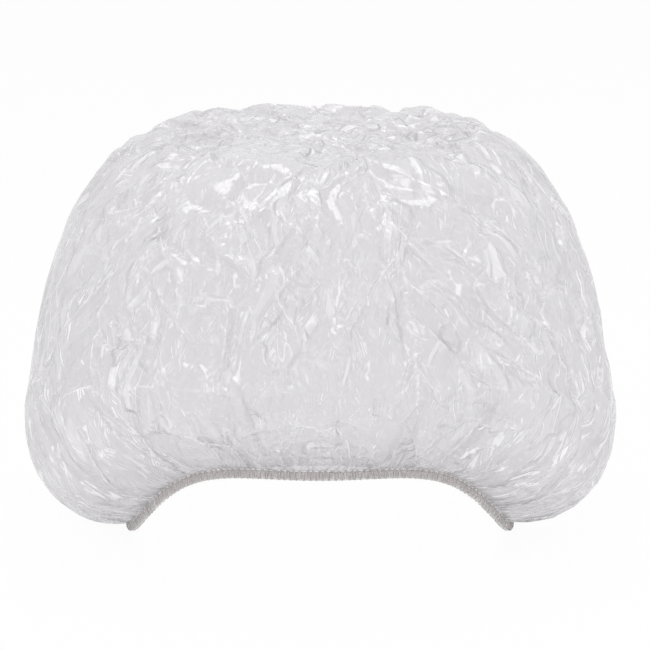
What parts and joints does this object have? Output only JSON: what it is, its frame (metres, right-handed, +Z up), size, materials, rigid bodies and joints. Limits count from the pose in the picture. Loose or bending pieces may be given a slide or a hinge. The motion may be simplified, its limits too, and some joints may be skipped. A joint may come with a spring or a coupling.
{
  "type": "shower cap",
  "caption": "Clear film shower cap: a round sheet of thin film drawn into a loose dome by an elastic tape in its overlocked hem, worn over the hair to keep it dry.",
  "frame": {"origin": "middle of the bounding box, on the surface that the rear of the hem stands on", "axes": "+Z up to the crown, -Y towards the wearer's face, +X towards the right half of the picture"},
  "size_m": [0.2354, 0.2514, 0.1582],
  "materials": {
    "film": "gloss",
    "elastic": "matte",
    "thread": "matte"
  },
  "bodies": {
    "left_half": {"film_left": "film", "elastic_left": "elastic", "needle_thread_left": "thread", "outer_looper_thread_left": "thread", "inner_looper_thread_left": "thread", "elastic_tack": "thread"},
    "right_half": {"film_right": "film", "elastic_right": "elastic", "needle_thread_right": "thread", "outer_looper_thread_right": "thread", "inner_looper_thread_right": "thread"}
  },
  "joints": [
    {"name": "opening_stretch", "type": "slide", "parent": "left_half", "child": "right_half", "axis": [1, 0, 0], "range_m": [0, 0.05], "stiffness_N_per_m": 20}
  ]
}
